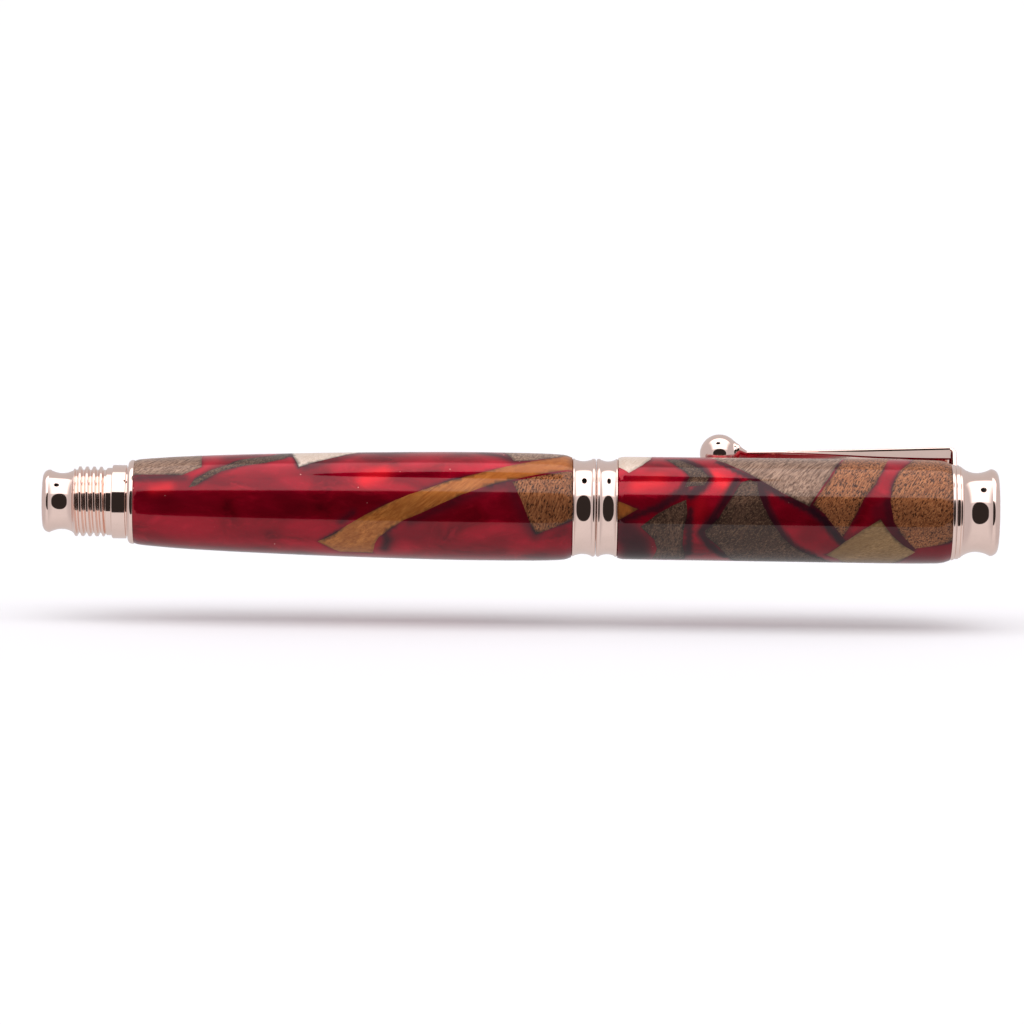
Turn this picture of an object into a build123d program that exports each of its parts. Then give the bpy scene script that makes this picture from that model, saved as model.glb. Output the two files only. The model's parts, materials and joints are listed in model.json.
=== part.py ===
"""A capped rollerball pen made of turned metal fittings and two cast barrels of wood chips in red resin.

The pen lies along X. X = 0 is the flat rear end of the lower barrel's finial, +X runs to the cap's finial,
and the pen's axis is y = z = 0. All sizes are in millimetres. Angles round the pen are measured from the
front (-Y) upwards: 0 is the front, 90 the top, 180 the back and 270 the underside.
"""

import os
from math import cos, radians, sin

from build123d import *

# ---- driving dimensions --------------------------------------------------------------------------
PEN_LENGTH = 136.0
CLIP_ANGLE = 135.0  # where the clip stands round the pen: up and back
WALL = 0.35  # brass tube wall
GLUE = 0.02  # room for glue or a running fit round the pieces that turn apart

# stations along the axis
REAR_FINIAL_END = 4.3
THREAD_END = 9.1
COLLAR_START, COLLAR_END, GROOVE_END = 9.9, 11.9, 12.15
BARREL_START, BARREL_END = 13.0, 75.3
PARTING = 78.6
CAP_GAP = 0.25  # between the barrel band's face and the cap band's face
CAP_MOUTH = PARTING + CAP_GAP
CAP_START, CAP_END = 81.85, 129.2
CAP_RING_END = 129.8
CLIP_RING_END = 130.4
GRIP_START, GRIP_END = 84.6, 107.0
NOSE_START, NOSE_END = 108.2, 118.8
TIP_FACE = 121.25

# radii
BARREL_TUBE_R = 5.15
CAP_TUBE_R = 6.1
BARREL_BORE = BARREL_TUBE_R - WALL
CAP_BORE = CAP_TUBE_R - WALL
BARREL_CHIP_FLOOR = 5.45
CAP_CHIP_FLOOR = 6.4
BAND_R = 6.98
BAND_WAIST_R = 6.62
REFILL_START = 11.0
REFILL_R = 3.05
REFILL_WAY = 3.2  # bore that the refill runs in
SPRING_WAY = 3.35
STUD_R = 3.0

# threads: one size for the section and for posting, so that the cap screws on at either end
CAP_THREAD_CREST, CAP_THREAD_ROOT = 4.98, 4.5
CAP_THREAD_PITCH = 1.0
CAP_THREAD_BORE = 5.05
SECTION_THREAD_R, SECTION_THREAD_LENGTH = 4.2, 5.0
SECTION_THREAD_BORE = 4.25

BALL_R = 0.35
BALL_X = 121.1
CLIP_BALL_R = 2.9
CLIP_BALL_X = 96.6

# outer outlines of the two barrels, as (x, radius)
BARREL_OUTLINE = [
    (13.15, 5.98), (16.6, 6.34), (20.0, 6.58), (30.0, 7.02), (45.0, 7.46), (62.0, 7.71), (70.0, 7.66),
    (73.9, 7.5),
]
BARREL_REAR_R, BARREL_LIP_R = 5.86, 7.1
CAP_OUTLINE = [(82.7, 7.3), (105.0, 7.38), (122.0, 7.42), (127.4, 7.34)]
CAP_MOUTH_R, CAP_HEAD_R = 7.12, 6.9

# ---- wood chips ----------------------------------------------------------------------------------
# Each chip is an outline of (x, angle round the pen) points. A long strip is two outlines that overlap.
BARREL_CHIPS = {
    "barrel_walnut_chips": [
        [[(12.5, 45), (17.0, 43), (20.0, 41), (22.7, 54), (22.6, 80), (21.9, 119), (12.5, 108)]],
        [[(64.4, 130), (65.3, 92), (67.0, 62), (70.0, 65), (72.5, 72), (75.4, 88), (75.4, 130)]],
        [[(22.5, 158), (31.0, 150), (35.5, 176), (33.0, 212), (24.5, 205)]],
    ],
    "barrel_maple_chips": [
        [
            [
                (34.6, 128), (35.2, 95), (35.6, 73), (36.5, 51), (39.2, 61), (42.2, 72), (44.6, 85),
                (46.0, 100), (47.0, 128),
            ],
        ],
        [[(44.0, 196), (50.5, 186), (52.0, 226), (46.0, 232)]],
    ],
    "barrel_olive_chips": [
        [
            [
                (39.3, -41), (41.5, -30), (43.5, -18), (46.0, -6), (49.0, 6), (52.0, 16), (55.0, 24),
                (58.0, 33), (62.0, 42), (65.0, 50), (68.0, 58), (71.0, 66), (71.6, 45), (67.5, 36),
                (64.0, 29), (60.0, 18), (57.0, 8), (54.0, -3), (51.5, -11), (49.5, -22), (48.0, -32),
                (47.4, -42), (47.1, -60), (42.5, -60),
            ],
            [
                (62.0, 42), (65.0, 50), (68.0, 59), (71.0, 65), (73.3, 75), (74.6, 86), (75.4, 96),
                (75.4, 52), (71.0, 43), (67.5, 36), (64.0, 29),
            ],
        ],
        [
            [
                (22.0, 236), (30.0, 247), (38.0, 252), (47.0, 251), (55.0, 244), (60.5, 233),
                (58.0, 231), (53.0, 238), (46.5, 243), (38.0, 244), (30.5, 239), (24.0, 228),
            ]
        ],
    ],
    "barrel_mahogany_chips": [
        [
            [
                (66.8, 32), (69.0, 37), (71.2, 41), (75.4, 50), (75.4, -9), (70.3, -25), (69.4, -13),
                (68.2, 10),
            ],
        ],
        [[(53.5, 150), (61.0, 140), (67.5, 165), (63.0, 205), (56.5, 196)]],
    ],
    "barrel_dark_chips": [
        [
            [
                (21.0, 24), (21.8, 35), (23.8, 47), (26.3, 57), (28.4, 69), (32.5, 77), (34.2, 92),
                (34.4, 108), (35.0, 92), (35.2, 78), (34.2, 67), (31.5, 59), (28.2, 54), (25.6, 46),
                (23.6, 36), (22.0, 26),
            ]
        ],
        [[(62.0, 226), (70.0, 218), (73.0, 250), (66.5, 266), (63.5, 248)]],
    ],
}
CAP_CHIPS = {
    "cap_walnut_chips": [
        [
            [
                (94.0, 95), (96.0, 74), (98.2, 60), (101.6, 41), (105.0, 24), (108.8, 9), (110.2, 26),
                (111.8, 46), (113.4, 76), (114.0, 96), (113.8, 103), (94.4, 103),
            ]
        ],
        [[(110.0, 166), (119.0, 158), (124.5, 186), (118.0, 214), (111.5, 200)]],
    ],
    "cap_mahogany_chips": [
        [
            [
                (109.3, 11), (111.0, 1), (112.3, -12), (113.6, -25), (114.6, -12), (116.6, 19),
                (118.2, 36), (119.3, 55), (120.1, 78), (120.5, 96), (120.4, 103), (114.2, 103),
                (114.3, 96), (113.7, 76), (112.1, 46), (110.5, 26),
            ]
        ],
        [
            [
                (124.2, 96), (123.3, 74), (121.6, 54), (120.6, 34), (120.3, 16), (120.8, -6),
                (121.9, -21), (124.0, -40), (126.0, -37), (129.3, -31), (129.3, 103), (124.5, 103),
            ]
        ],
        [[(94.0, 160), (102.0, 150), (107.5, 172), (103.0, 198), (96.5, 192)]],
    ],
    "cap_maple_chips": [
        [[(81.7, 60), (83.3, 48), (85.2, 61), (86.4, 76), (86.8, 98), (85.8, 122), (81.7, 122)]],
        [[(84.0, 168), (89.5, 158), (91.5, 184), (86.5, 196)]],
    ],
    "cap_olive_chips": [
        [[(81.7, 13), (84.6, 4), (81.7, -10)]],
        [
            [
                (86.0, 212), (92.0, 222), (100.0, 228), (108.0, 226), (110.0, 220), (100.0, 219),
                (93.0, 213), (88.0, 204),
            ]
        ],
    ],
    "cap_dark_chips": [
        [
            [
                (85.0, -16), (87.2, -2), (89.4, 8), (91.4, 15), (91.6, 0), (91.1, -20), (91.0, -40),
                (91.4, -56), (91.4, -72), (86.8, -72), (87.4, -46), (87.0, -32),
            ]
        ],
        [
            [
                (99.2, 36), (98.0, 20), (97.0, 8), (96.0, -5), (95.0, -13), (94.1, -20), (94.3, -27),
                (95.3, -34), (96.2, -42), (97.0, -52), (98.0, -68), (98.8, -78), (112.6, -78),
                (110.6, -60), (108.4, -50), (106.5, -38), (105.0, -25), (104.0, -13), (103.1, -2),
                (102.3, 10), (101.7, 22), (101.5, 36), (100.4, 40),
            ]
        ],
        [
            [
                (91.9, 43), (91.0, 53), (89.8, 62), (88.6, 76), (90.2, 77), (91.6, 67), (93.4, 56),
                (94.7, 43), (94.0, 32), (91.2, 30),
            ],
        ],
        [[(112.5, 232), (122.0, 226), (126.0, 244), (119.0, 258)]],
    ],
    "cap_sycamore_chips": [
        [
            [
                (118.9, -4), (120.6, -22), (122.4, -36), (124.0, -46), (122.6, -58), (121.4, -75),
                (121.0, -92), (115.0, -92), (113.2, -63), (111.4, -53), (114.0, -31), (116.5, -16),
            ]
        ],
    ],
}


# ---- helpers -------------------------------------------------------------------------------------
def outward(angle):
    """The direction away from the pen's axis at an angle round it."""
    return Vector(0, -cos(radians(angle)), sin(radians(angle)))


def radius_at(outline, x):
    """The radius of an outline of (x, radius) points at x, on straight lines between its points."""
    if x <= outline[0][0]:
        return outline[0][1]
    for (x0, r0), (x1, r1) in zip(outline, outline[1:]):
        if x <= x1:
            return r0 + (r1 - r0) * (x - x0) / (x1 - x0)
    return outline[-1][1]


def turned(*points):
    """A solid turned about the pen's axis, from the (x, radius) corners of its half section."""
    with BuildPart() as solid:
        with BuildSketch(Plane.XY):
            with BuildLine():
                Polyline(*points, close=True)
            make_face()
        revolve(axis=Axis.X)
    return solid.part


def tube(start, end, outer, inner):
    """A plain sleeve on the pen's axis."""
    return turned((start, inner), (end, inner), (end, outer), (start, outer))


def rod(start, end, radius):
    """A plain round bar on the pen's axis."""
    return turned((start, 0), (end, 0), (end, radius), (start, radius))


def cap_thread(start, end):
    """The helical ridge that the cap screws on to. Its foot is sunk in a core of the root radius."""
    root, crest, pitch = CAP_THREAD_ROOT, CAP_THREAD_CREST, CAP_THREAD_PITCH
    sunk, foot, land = 0.15, 0.42 * pitch, 0.13 * pitch
    with BuildPart() as ridge:
        with BuildLine() as path:
            Helix(
                pitch=pitch,
                height=end - start - 2 * foot - 0.06,
                radius=root,
                center=(start + foot + 0.03, 0, 0),
                direction=(1, 0, 0),
            )
        at = path.line @ 0
        with BuildSketch(Plane(origin=at, x_dir=Vector(0, at.Y, at.Z), z_dir=path.line % 0)):
            with BuildLine():
                height = crest - root
                Polyline((-sunk, -foot), (height, -land), (height, land), (-sunk, foot), close=True)
            make_face()
        sweep(is_frenet=True)
    return ridge.part


def save(part, name):
    """Labels a finished piece and writes its STEP file."""
    part.label = name
    export_step(part, f"parts/{name}.step")


# ---- cast barrels: resin with wood chips set flush in it -----------------------------------------
def barrel_shell(mouth, outline, head, bore):
    """A cast barrel's turned outside with its bore, bevelled at the mouth and eased over at the head."""
    with BuildPart() as shell:
        with BuildSketch(Plane.XY):
            with BuildLine():
                curve = Spline(*outline)
                Line(mouth, curve @ 0)
                TangentArc(curve @ 1, head, tangent=curve % 1)
                Polyline(mouth, (mouth[0], bore), (head[0], bore), head)
            make_face()
        revolve(axis=Axis.X)
    return shell.part


def chip_prism(outline, surface):
    """A prism through the barrel's wall whose section is a chip's outline, seen square on from outside."""
    middle = (min(a for _, a in outline) + max(a for _, a in outline)) / 2
    corners = [(x, radius_at(surface, x) * sin(radians(a - middle))) for x, a in outline]
    with BuildPart() as prism:
        with BuildSketch(Plane(origin=outward(middle), x_dir=(1, 0, 0), z_dir=outward(middle))):
            with BuildLine():
                Polyline(*corners, close=True)
            make_face()
        extrude(amount=9)
    return prism.part


def cast_barrel(shell, chip_wall, chips, surface):
    """Cuts the chips out of the wall they are set in, and their pockets out of the resin around them."""
    wall, groups = chip_wall, {}
    for name, shapes in chips.items():
        solids = []
        for outlines in shapes:
            prisms = [chip_prism(outline, surface) for outline in outlines]
            with BuildPart() as cutter:
                add(prisms)
            with BuildPart() as chip:
                add(wall)
                add(cutter.part, mode=Mode.INTERSECT)
            with BuildPart() as rest:
                add(wall)
                add(cutter.part, mode=Mode.SUBTRACT)
            wall = rest.part
            solids += chip.part.solids()
        groups[name] = Compound(children=solids)
    with BuildPart() as resin:
        add(shell)
        for group in groups.values():
            add(group.solids(), mode=Mode.SUBTRACT)
    return resin.part, groups


# ---- lower barrel --------------------------------------------------------------------------------
def lower_barrel():
    """The cast barrel that is held while writing, with the brass tube it is glued on."""
    rear, front = (BARREL_START, BARREL_REAR_R), (BARREL_END, BARREL_LIP_R)
    shell = barrel_shell(rear, BARREL_OUTLINE, front, BARREL_TUBE_R)
    chip_wall = barrel_shell(rear, BARREL_OUTLINE, front, BARREL_CHIP_FLOOR)
    resin, chips = cast_barrel(shell, chip_wall, BARREL_CHIPS, BARREL_OUTLINE)
    save(resin, "barrel_resin")
    for name, group in chips.items():
        save(group, name)
    save(tube(BARREL_START, BARREL_END, BARREL_TUBE_R, BARREL_BORE), "barrel_tube")


def rear_fittings():
    """The flared rear finial, the threaded posting fitting, its trim ring and the refill spring."""
    stud_end = REAR_FINIAL_END + 3.0
    with BuildPart() as rear_finial:
        with BuildSketch(Plane.XY):
            with BuildLine():
                Line((0, 0), (0, 3.5))
                flare = TangentArc((0, 3.5), (0.95, 4.47), tangent=(0, 1))
                waist = Spline(flare @ 1, (1.7, 4.2), (2.75, 3.98), (3.7, 4.16), (4.3, 4.42))
                Polyline(waist @ 1, (4.3, SPRING_WAY), (stud_end, SPRING_WAY), (stud_end, 0), (0, 0))
            make_face()
        revolve(axis=Axis.X)
    save(rear_finial.part, "rear_finial")

    spigot_end = 18.5
    ridge = cap_thread(REAR_FINIAL_END + 0.05, THREAD_END)
    with BuildPart() as posting_coupler:
        with BuildSketch(Plane.XY):
            with BuildLine():
                Polyline(
                    (REAR_FINIAL_END, SPRING_WAY),
                    (REAR_FINIAL_END, CAP_THREAD_ROOT),
                    (THREAD_END, CAP_THREAD_ROOT),
                    (THREAD_END, BARREL_BORE),
                    (COLLAR_START, BARREL_BORE),
                )
                Line((COLLAR_START, BARREL_BORE), (COLLAR_START, 5.08))
                ThreePointArc((COLLAR_START, 5.08), (COLLAR_START + 0.05, 5.19), (COLLAR_START + 0.17, 5.23))
                Line((COLLAR_START + 0.17, 5.23), (COLLAR_END, 5.23))
                Polyline(
                    (COLLAR_END, 5.23),
                    (COLLAR_END, 4.9),
                    (GROOVE_END, 4.9),
                    (GROOVE_END, BARREL_BORE),
                    (spigot_end, BARREL_BORE),
                    (spigot_end, SPRING_WAY),
                    (REAR_FINIAL_END, SPRING_WAY),
                )
            make_face()
        revolve(axis=Axis.X)
        add(ridge)
    save(posting_coupler.part, "posting_coupler")

    with BuildPart() as rear_trim_ring:
        with BuildSketch(Plane.XY):
            with BuildLine():
                Polyline(
                    (GROOVE_END, 5.38),
                    (GROOVE_END, BARREL_BORE),
                    (BARREL_START, BARREL_BORE),
                    (BARREL_START, 5.96),
                )
                Line((BARREL_START, 5.96), (12.75, 5.98))
                TangentArc((12.75, 5.98), (GROOVE_END, 5.38), tangent=(-1, 0))
            make_face()
        revolve(axis=Axis.X)
    save(rear_trim_ring.part, "rear_trim_ring")

    wire_r, coil_r = 0.22, 2.6
    spring_start, spring_end = stud_end, REFILL_START - GLUE
    with BuildPart() as refill_spring:
        with BuildLine() as coil:
            Helix(
                pitch=0.74,
                height=spring_end - spring_start - 2 * wire_r,
                radius=coil_r,
                center=(spring_start + wire_r, 0, 0),
                direction=(1, 0, 0),
            )
        with BuildSketch(Plane(origin=coil.line @ 0, z_dir=coil.line % 0)):
            Circle(wire_r)
        sweep(is_frenet=True)
    save(refill_spring.part, "refill_spring")


def scotia_band(start, end, bore, mirrored):
    """A trim band with a hollow waist between two rims. The rim at the parting line is the rounder one."""
    rim, parting_rim = 0.42, 0.6
    near, far = (parting_rim, rim) if mirrored else (rim, parting_rim)
    middle = (start + near + end - far) / 2
    with BuildPart() as band:
        with BuildSketch(Plane.XY):
            with BuildLine():
                Line((start, bore), (start, 6.78))
                ThreePointArc((start, 6.78), (start + near / 2, BAND_R), (start + near, 6.86))
                ThreePointArc((start + near, 6.86), (middle, BAND_WAIST_R), (end - far, 6.86))
                ThreePointArc((end - far, 6.86), (end - far / 2, BAND_R), (end, 6.78))
                Polyline((end, 6.78), (end, bore), (start, bore))
            make_face()
        revolve(axis=Axis.X)
    return band.part


def barrel_front():
    """The band and the internally threaded coupler at the lower barrel's front."""
    save(scotia_band(BARREL_END, PARTING, BARREL_BORE, mirrored=False), "barrel_band")
    save(tube(66.0, PARTING, BARREL_BORE, SECTION_THREAD_BORE), "barrel_coupler")


# ---- front section and refill --------------------------------------------------------------------
def front_section():
    """The grip that screws into the lower barrel: threaded coupler, grip, trim ring and nose cone."""
    pilot_start, thread_start, neck_end = 70.5, 79.3, 88.0
    neck_r = 4.0
    ridge = cap_thread(thread_start, GRIP_START - 0.2)
    with BuildPart() as section_coupler:
        with BuildSketch(Plane.XY):
            with BuildLine():
                Polyline(
                    (pilot_start, REFILL_WAY),
                    (pilot_start, neck_r),
                    (PARTING - SECTION_THREAD_LENGTH, neck_r),
                    (PARTING - SECTION_THREAD_LENGTH, SECTION_THREAD_R),
                    (PARTING + 0.05, SECTION_THREAD_R),
                    (PARTING + 0.05, 5.0),
                    (thread_start, 5.0),
                    (thread_start, CAP_THREAD_ROOT),
                    (GRIP_START, CAP_THREAD_ROOT),
                    (GRIP_START, neck_r),
                    (neck_end, neck_r),
                    (neck_end, REFILL_WAY),
                    close=True,
                )
            make_face()
        revolve(axis=Axis.X)
        add(ridge)
    save(section_coupler.part, "section_coupler")

    spigot_start, spigot_r = 103.5, 3.7
    with BuildPart() as grip_section:
        with BuildSketch(Plane.XY):
            with BuildLine():
                Line((GRIP_START, neck_r), (GRIP_START, 4.7))
                edge = TangentArc((GRIP_START, 4.7), (GRIP_START + 0.25, 4.92), tangent=(0, 1))
                side = Spline(edge @ 1, (92.0, 4.55), (100.0, 4.1), (105.0, 4.12), (GRIP_END, 4.35))
                Polyline(
                    side @ 1,
                    (GRIP_END, spigot_r),
                    (spigot_start, spigot_r),
                    (spigot_start, REFILL_WAY),
                    (neck_end, REFILL_WAY),
                    (neck_end, neck_r),
                    (GRIP_START, neck_r),
                )
            make_face()
        revolve(axis=Axis.X)
    save(grip_section.part, "grip_section")

    with BuildPart() as section_trim_ring:
        with BuildSketch(Plane.XY):
            with BuildLine():
                Polyline((GRIP_END, 4.1), (GRIP_END, spigot_r), (NOSE_START, spigot_r), (NOSE_START, 4.1))
                ThreePointArc((NOSE_START, 4.1), ((GRIP_END + NOSE_START) / 2, 4.45), (GRIP_END, 4.1))
            make_face()
        revolve(axis=Axis.X)
    save(section_trim_ring.part, "section_trim_ring")

    with BuildPart() as nose_cone:
        with BuildSketch(Plane.XY):
            with BuildLine():
                shoulder, spigot_face = NOSE_START + GLUE, spigot_start + GLUE
                Polyline(
                    (spigot_face, REFILL_WAY),
                    (spigot_face, spigot_r - GLUE),
                    (shoulder, spigot_r - GLUE),
                    (shoulder, 3.95),
                )
                slope = Spline((shoulder, 3.95), (112.0, 3.55), (115.6, 2.7), (NOSE_END - 0.2, 1.62))
                TangentArc(slope @ 1, (NOSE_END, 1.4), tangent=slope % 1)
                Polyline(
                    (NOSE_END, 1.4),
                    (NOSE_END, 1.25),
                    (113.4, 1.25),
                    (112.7, 1.85),
                    (111.1, 1.85),
                    (110.1, REFILL_WAY),
                    (spigot_face, REFILL_WAY),
                )
            make_face()
        revolve(axis=Axis.X)
    save(nose_cone.part, "nose_cone")


def refill():
    """The ink refill: plastic tube, rear plug, fibre reservoir, metal collar, tip and writing ball."""
    bore, plug_end, tube_start, tube_end = 2.5, 13.6, 11.6, 108.6
    save(tube(tube_start, tube_end, REFILL_R, bore), "refill_tube")
    save(
        turned(
            (REFILL_START, 0),
            (REFILL_START, 2.9),
            (tube_start, 2.9),
            (tube_start, bore),
            (plug_end, bore),
            (plug_end, 0),
        ),
        "refill_plug",
    )
    save(rod(14.0, 104.0, bore - 0.05), "ink_reservoir")
    channel_r, tip_r = 0.25, 1.15
    save(
        turned(
            (106.0, channel_r),
            (106.0, bore),
            (tube_end, bore),
            (tube_end, REFILL_R),
            (110.0, REFILL_R),
            (110.7, 1.7),
            (112.4, 1.6),
            (112.4, tip_r),
            (109.8, tip_r),
            (109.8, channel_r),
        ),
        "refill_collar",
    )
    point = turned(
        (109.8, channel_r),
        (109.8, tip_r),
        (118.9, tip_r),
        (119.2, 1.05),
        (TIP_FACE, 0.42),
        (TIP_FACE, 0),
        (BALL_X - 0.3, 0),
        (BALL_X - 0.3, channel_r),
    )
    with BuildPart() as refill_tip:
        add(point)
        with Locations((BALL_X, 0, 0)):
            Sphere(BALL_R + 0.02, mode=Mode.SUBTRACT)
    save(refill_tip.part, "refill_tip")
    with BuildPart() as writing_ball:
        with Locations((BALL_X, 0, 0)):
            Sphere(BALL_R)
    save(writing_ball.part, "writing_ball")


# ---- cap -----------------------------------------------------------------------------------------
def cap():
    """The cast cap with its brass tube, mouth band, thread insert and the plastic liner inside."""
    mouth, head = (CAP_START, CAP_MOUTH_R), (CAP_END, CAP_HEAD_R)
    shell = barrel_shell(mouth, CAP_OUTLINE, head, CAP_TUBE_R)
    chip_wall = barrel_shell(mouth, CAP_OUTLINE, head, CAP_CHIP_FLOOR)
    resin, chips = cast_barrel(shell, chip_wall, CAP_CHIPS, CAP_OUTLINE)
    save(resin, "cap_resin")
    for name, group in chips.items():
        save(group, name)
    save(tube(CAP_START + GLUE, CAP_END - GLUE, CAP_TUBE_R - GLUE, CAP_BORE + GLUE), "cap_tube")

    insert_r, lip_r, lip_end, insert_end = 5.55, 5.95, CAP_MOUTH + 0.4, 87.0
    band = scotia_band(CAP_MOUTH, CAP_START, insert_r, mirrored=True)
    lip_seat = tube(CAP_MOUTH, lip_end, lip_r, insert_r)
    with BuildPart() as cap_band:
        add(band)
        add(lip_seat, mode=Mode.SUBTRACT)
    save(cap_band.part, "cap_band")
    save(
        turned(
            (CAP_MOUTH, CAP_THREAD_BORE),
            (CAP_MOUTH, lip_r),
            (lip_end, lip_r),
            (lip_end, insert_r),
            (CAP_START, insert_r),
            (CAP_START, CAP_BORE),
            (insert_end, CAP_BORE),
            (insert_end, CAP_THREAD_BORE),
        ),
        "cap_thread_insert",
    )
    liner_start, liner_face, liner_end = 99.0, 121.9, 122.5
    liner_bore = 4.6
    save(
        turned(
            (liner_start, liner_bore + 0.4),
            (liner_start, CAP_BORE - 0.05),
            (liner_end, CAP_BORE - 0.05),
            (liner_end, 0),
            (liner_face, 0),
            (liner_face, 2.5),
            (115.0, liner_bore),
            (liner_start + 0.8, liner_bore),
        ),
        "cap_liner",
    )


def cap_head():
    """The fitting pressed into the cap's head, and the finial whose stud clamps the clip's ring on it."""
    coupler_start, stud_start = 122.6, 122.8
    with BuildPart() as finial_coupler:
        with BuildSketch(Plane.XY):
            with BuildLine():
                Polyline(
                    (CAP_RING_END, 6.72),
                    (CAP_RING_END, STUD_R),
                    (coupler_start, STUD_R),
                    (coupler_start, CAP_BORE),
                    (CAP_END, CAP_BORE),
                    (CAP_END, 6.78),
                )
                ThreePointArc((CAP_END, 6.78), ((CAP_END + CAP_RING_END) / 2, 6.86), (CAP_RING_END, 6.72))
            make_face()
        revolve(axis=Axis.X)
    save(finial_coupler.part, "finial_coupler")

    with BuildPart() as cap_finial:
        with BuildSketch(Plane.XY):
            with BuildLine():
                Polyline(
                    (PEN_LENGTH, 0),
                    (stud_start, 0),
                    (stud_start, STUD_R),
                    (CLIP_RING_END, STUD_R),
                    (CLIP_RING_END, 6.5),
                )
                ThreePointArc((CLIP_RING_END, 6.5), (130.62, 6.52), (130.8, 6.36))
                waist = Spline((130.8, 6.36), (131.5, 5.86), (132.9, 5.62), (134.1, 5.86), (134.9, 6.19))
                ThreePointArc(waist @ 1, (135.55, 6.0), (PEN_LENGTH, 5.2))
                Line((PEN_LENGTH, 5.2), (PEN_LENGTH, 0))
            make_face()
        revolve(axis=Axis.X)
    save(cap_finial.part, "cap_finial")


# ---- clip ----------------------------------------------------------------------------------------
CLIP_OUT = outward(CLIP_ANGLE)
CLIP_ACROSS = Vector(1, 0, 0).cross(CLIP_OUT)
CLIP_SIDE = Plane(origin=(0, 0, 0), x_dir=(1, 0, 0), z_dir=CLIP_ACROSS)  # (x, distance from the axis)
CLIP_TOP = Plane(origin=(0, 0, 0), x_dir=(1, 0, 0), z_dir=CLIP_OUT)  # (x, offset to the side)
CLIP_PIVOT_X = (CAP_RING_END + CLIP_RING_END) / 2
CLIP_PIVOT_OUT = 9.9
CLIP_SHEET = 0.6
CLIP_GAP = 0.03  # running clearance at the root


def clip():
    """The clip: a ring with a tab, a folded sheet arm that turns on the tab, and the ball at its tip."""
    sheet = CLIP_RING_END - CAP_RING_END
    knuckle_r = 0.5
    tab_width = 3.4
    washer = tube(CAP_RING_END, CLIP_RING_END, 6.7, STUD_R + 0.1)
    with BuildPart() as clip_ring:
        with BuildSketch(CLIP_SIDE):
            with BuildLine():
                Polyline(
                    (CAP_RING_END, 4.5),
                    (CAP_RING_END, 9.4),
                    (CLIP_RING_END, 9.4),
                    (CLIP_RING_END, 4.5),
                    close=True,
                )
            make_face()
        extrude(amount=tab_width / 2, both=True)
        add(washer)
        with BuildSketch(CLIP_SIDE):
            with Locations((CLIP_PIVOT_X, CLIP_PIVOT_OUT)):
                Circle(knuckle_r + CLIP_GAP)
        extrude(amount=tab_width, both=True, mode=Mode.SUBTRACT)
    save(clip_ring.part, "clip_ring")

    arm_tip, root_x = CLIP_BALL_X + 1.6, CLIP_RING_END
    width_tip, width_root = 2.0, 4.6
    sheet_underside, below_arm = 9.45, 7.0  # distances from the pen's axis
    walls_start, walls_end = 108.0, 129.0  # the sheet is flat nearer the ball and folded down beyond it
    widening = (width_root - width_tip) / (root_x - arm_tip)
    inner_start = (width_tip + widening * (walls_start - arm_tip)) / 2 - CLIP_SHEET
    inner_end = (width_tip + widening * (walls_end - arm_tip)) / 2 - CLIP_SHEET
    with BuildPart() as clip_arm:
        # outer block: a side view cut by a tapering top view
        with BuildSketch(CLIP_SIDE):
            with BuildLine():
                top = Line((arm_tip, 10.05), (129.5, 10.42))
                bend = TangentArc(top @ 1, (root_x, 9.9), tangent=top % 1)
                Polyline(
                    bend @ 1,
                    (root_x, CLIP_PIVOT_OUT),
                    (CLIP_PIVOT_X, CLIP_PIVOT_OUT),
                    (129.6, CLIP_PIVOT_OUT - 0.4),
                    (129.6, 7.75),
                )
                hem = Spline(
                    (129.6, 7.75), (126.0, 7.9), (120.0, 8.35), (113.0, 9.1), (107.0, 9.4), (arm_tip, 9.4)
                )
                Line(hem @ 1, top @ 0)
            make_face()
        extrude(amount=width_root / 2, both=True)
        with BuildSketch(CLIP_TOP):
            with BuildLine():
                Polyline(
                    (arm_tip, -width_tip / 2),
                    (root_x + 0.1, -width_root / 2),
                    (root_x + 0.1, width_root / 2),
                    (arm_tip, width_tip / 2),
                    close=True,
                )
            make_face()
        extrude(amount=12, mode=Mode.INTERSECT)
        edges = clip_arm.edges()
        high = [edge for edge in edges if min((edge @ 0).dot(CLIP_OUT), (edge @ 1).dot(CLIP_OUT)) > 9.85]
        fillet([edge for edge in high if abs((edge @ 0).X - (edge @ 1).X) > 0.5], 0.5)
        # the hollow underneath, which leaves a folded sheet
        with BuildSketch(CLIP_TOP.offset(below_arm)):
            with BuildLine():
                Polyline(
                    (walls_start, -inner_start),
                    (walls_end, -inner_end),
                    (walls_end, inner_end),
                    (walls_start, inner_start),
                    close=True,
                )
            make_face()
        extrude(amount=sheet_underside - below_arm, mode=Mode.SUBTRACT)
        # the round knuckle that turns in the tab's seat
        with BuildSketch(CLIP_SIDE):
            with Locations((CLIP_PIVOT_X, CLIP_PIVOT_OUT)):
                Circle(knuckle_r)
        extrude(amount=tab_width / 2, both=True)
    save(clip_arm.part, "clip_arm")

    ball_out = radius_at(CAP_OUTLINE, CLIP_BALL_X) + CLIP_BALL_R + 0.02
    centre = CLIP_OUT * ball_out + Vector(CLIP_BALL_X, 0, 0)
    with BuildPart() as clip_ball:
        with Locations(centre):
            Sphere(CLIP_BALL_R)
        add(clip_arm.part, mode=Mode.SUBTRACT)
    save(clip_ball.part, "clip_ball")


os.makedirs("parts", exist_ok=True)
lower_barrel()
rear_fittings()
barrel_front()
front_section()
refill()
cap()
cap_head()
clip()
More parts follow.
